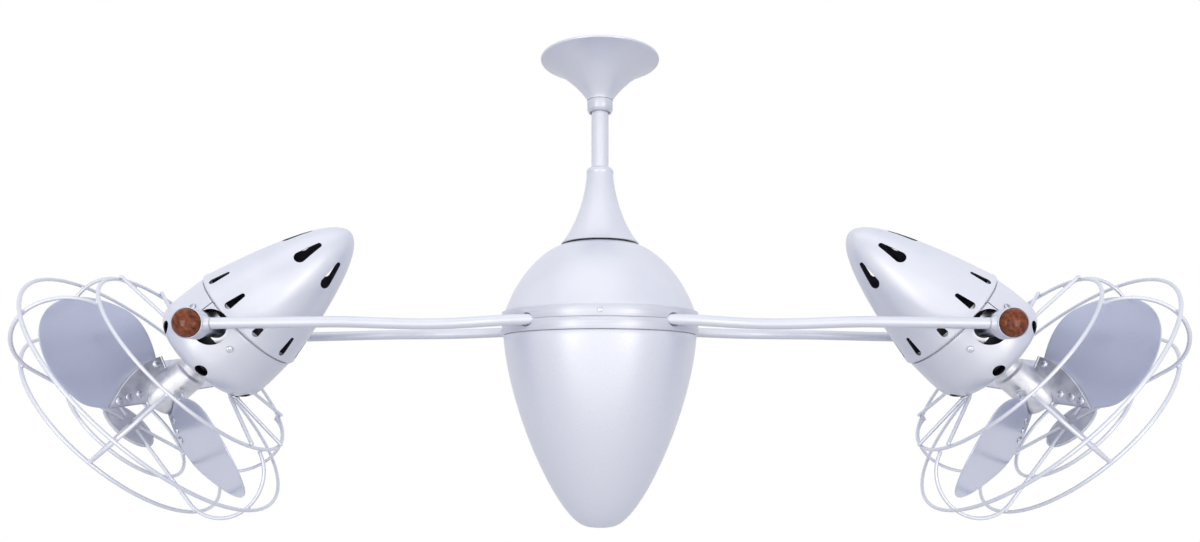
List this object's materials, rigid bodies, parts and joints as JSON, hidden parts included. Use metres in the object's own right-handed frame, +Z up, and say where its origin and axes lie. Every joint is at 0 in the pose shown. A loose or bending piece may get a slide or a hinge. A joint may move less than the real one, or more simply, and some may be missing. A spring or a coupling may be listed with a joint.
{
  "type": "twin head ceiling fan",
  "caption": "Ceiling fan with a downrod and a turning egg-shaped body whose tube arms carry caged, tiltable fan heads with clamp knobs.",
  "frame": {"origin": "the ceiling plane, midway between the ceiling bracket's two slots", "axes": "+Z up into the ceiling, X along the arms from head to head, -Y towards the side that the picture shows"},
  "size_m": [1.3572, 0.3772, 0.5778],
  "materials": {
    "satin_paint": "satin silver-white paint",
    "brushed_paint": "satin silver-white paint over brushed metal",
    "cage_wire": "satin silver paint on drawn wire",
    "blade_grey": "satin grey paint on sheet metal",
    "cast_metal": "sand-cast, satin",
    "zinc_steel": "zinc plated",
    "bearing_steel": "bright turned steel",
    "motor_black": "semi-matt black enamel",
    "nylon": "moulded nylon",
    "turned_wood": "turned hardwood, clear gloss varnish"
  },
  "bodies": {
    "ceiling_mount": {"ceiling_bracket": "zinc_steel", "canopy": "satin_paint", "canopy_collar": "satin_paint", "hang_ball": "nylon", "rod_pins": "zinc_steel", "downrod": "satin_paint", "coupling": "zinc_steel", "neck_cover": "satin_paint", "main_shaft": "zinc_steel", "shaft_nut": "zinc_steel", "slip_ring": "nylon"},
    "arm_body": {"hub_bearings": "bearing_steel", "arm_hub": "cast_metal", "upper_dome": "satin_paint", "upper_band": "brushed_paint", "lower_band": "brushed_paint", "lower_shell": "brushed_paint", "band_screws": "bearing_steel", "left_front_arm": "satin_paint", "left_rear_arm": "satin_paint", "right_front_arm": "satin_paint", "right_rear_arm": "satin_paint"},
    "left_head": {"left_tail_shell": "satin_paint", "left_front_housing": "satin_paint", "left_motor": "motor_black", "left_pivot_bracket": "zinc_steel", "left_head_screws": "bearing_steel", "left_cage_rear_ring": "cage_wire", "left_cage_middle_ring": "cage_wire", "left_cage_front_ring": "cage_wire", "left_cage_inner_ring": "cage_wire", "left_cage_ribs": "cage_wire", "left_cage_spokes": "cage_wire"},
    "left_rotor": {"left_rotor_shaft": "zinc_steel", "left_rotor_hub": "cast_metal", "left_blade_1": "blade_grey", "left_blade_2": "blade_grey", "left_blade_3": "blade_grey", "left_rivets": "bearing_steel"},
    "left_front_knob": {"left_front_knob": "turned_wood"},
    "left_rear_knob": {"left_rear_knob": "turned_wood"},
    "right_head": {"right_tail_shell": "satin_paint", "right_front_housing": "satin_paint", "right_motor": "motor_black", "right_pivot_bracket": "zinc_steel", "right_head_screws": "bearing_steel", "right_cage_rear_ring": "cage_wire", "right_cage_middle_ring": "cage_wire", "right_cage_front_ring": "cage_wire", "right_cage_inner_ring": "cage_wire", "right_cage_ribs": "cage_wire", "right_cage_spokes": "cage_wire"},
    "right_rotor": {"right_rotor_shaft": "zinc_steel", "right_rotor_hub": "cast_metal", "right_blade_1": "blade_grey", "right_blade_2": "blade_grey", "right_blade_3": "blade_grey", "right_rivets": "bearing_steel"},
    "right_front_knob": {"right_front_knob": "turned_wood"},
    "right_rear_knob": {"right_rear_knob": "turned_wood"}
  },
  "joints": [
    {"name": "body_spin", "type": "hinge", "parent": "ceiling_mount", "child": "arm_body", "pos_m": [0, 0, -0.3], "axis": [0, 0, 1], "continuous": true},
    {"name": "left_head_tilt", "type": "hinge", "parent": "arm_body", "child": "left_head", "pos_m": [-0.45, 0, -0.336], "axis": [0, 1, 0], "range_deg": [-49, 131]},
    {"name": "left_rotor_spin", "type": "hinge", "parent": "left_head", "child": "left_rotor", "pos_m": [-0.45, 0, -0.336], "axis": [-0.7547, 0, -0.6561], "continuous": true},
    {"name": "left_front_knob_turn", "type": "hinge", "parent": "left_head", "child": "left_front_knob", "pos_m": [-0.45, -0.12, -0.336], "axis": [0, -1, 0], "range_deg": [0, 360]},
    {"name": "left_rear_knob_turn", "type": "hinge", "parent": "left_head", "child": "left_rear_knob", "pos_m": [-0.45, 0.12, -0.336], "axis": [0, 1, 0], "range_deg": [0, 360]},
    {"name": "right_head_tilt", "type": "hinge", "parent": "arm_body", "child": "right_head", "pos_m": [0.45, 0, -0.336], "axis": [0, 1, 0], "range_deg": [-131, 49]},
    {"name": "right_rotor_spin", "type": "hinge", "parent": "right_head", "child": "right_rotor", "pos_m": [0.45, 0, -0.336], "axis": [0.7547, 0, -0.6561], "continuous": true},
    {"name": "right_front_knob_turn", "type": "hinge", "parent": "right_head", "child": "right_front_knob", "pos_m": [0.45, -0.12, -0.336], "axis": [0, -1, 0], "range_deg": [0, 360]},
    {"name": "right_rear_knob_turn", "type": "hinge", "parent": "right_head", "child": "right_rear_knob", "pos_m": [0.45, 0.12, -0.336], "axis": [0, 1, 0], "range_deg": [0, 360]}
  ]
}
